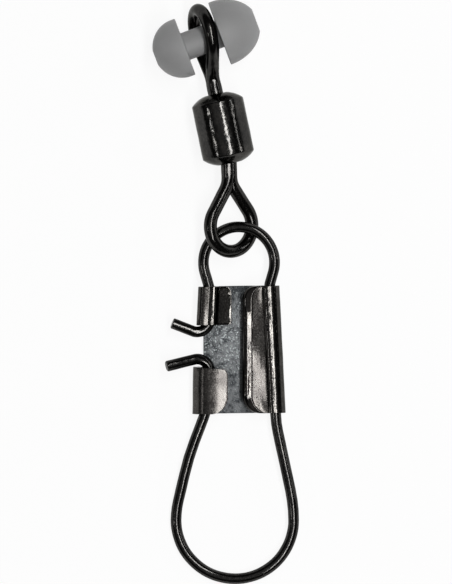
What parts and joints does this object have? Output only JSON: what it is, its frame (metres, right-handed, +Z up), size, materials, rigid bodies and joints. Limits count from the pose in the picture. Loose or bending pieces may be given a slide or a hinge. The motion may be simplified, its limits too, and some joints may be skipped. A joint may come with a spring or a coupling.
{
  "type": "fishing snap swivel",
  "caption": "Barrel swivel with two wire eyes: one carries a spool-shaped line bead, the other links to a bent-wire snap held in a folded sheet plate.",
  "frame": {"origin": "on the surface the part lies on, under the middle of its bounding box", "axes": "+Y along the chain towards the line bead, +X to the right as seen from above, +Z up from the surface"},
  "size_m": [0.01, 0.0398, 0.0045],
  "materials": {
    "bead_plastic": "moulded, slightly translucent grey plastic",
    "eye_wire": "black nickel plate on steel wire",
    "barrel_shell": "black nickel plate, lightly orange-peeled",
    "spring_wire": "black nickel plate on spring steel wire",
    "plate_sheet": "black nickel plate, bright on the folds and mottled on the flat back"
  },
  "bodies": {
    "barrel": {"barrel": "barrel_shell"},
    "upper_eye": {"upper_eye": "eye_wire"},
    "bead": {"line_bead": "bead_plastic"},
    "lower_eye": {"lower_eye": "eye_wire"},
    "snap": {"snap_wire": "spring_wire", "snap_plate": "plate_sheet"}
  },
  "joints": [
    {"name": "upper_eye_spin", "type": "hinge", "parent": "barrel", "child": "upper_eye", "pos_m": [-0.00058, 0.01292, 0.00178], "axis": [-0.2039, 0.976, 0.0768], "continuous": true},
    {"name": "bead_spin", "type": "hinge", "parent": "upper_eye", "child": "bead", "pos_m": [-0.00159, 0.01709, 0.00226], "axis": [0.9367, 0.3502, 0], "continuous": true},
    {"name": "lower_eye_spin", "type": "hinge", "parent": "barrel", "child": "lower_eye", "pos_m": [0.00019, 0.00924, 0.00178], "axis": [0.0366, -0.9973, -0.063], "continuous": true},
    {"name": "snap_swing", "type": "hinge", "parent": "lower_eye", "child": "snap", "pos_m": [0.00089, 0.002, 0.0012], "axis": [-0.047, -0.0334, 0.9983], "range_deg": [-70, 90]}
  ]
}
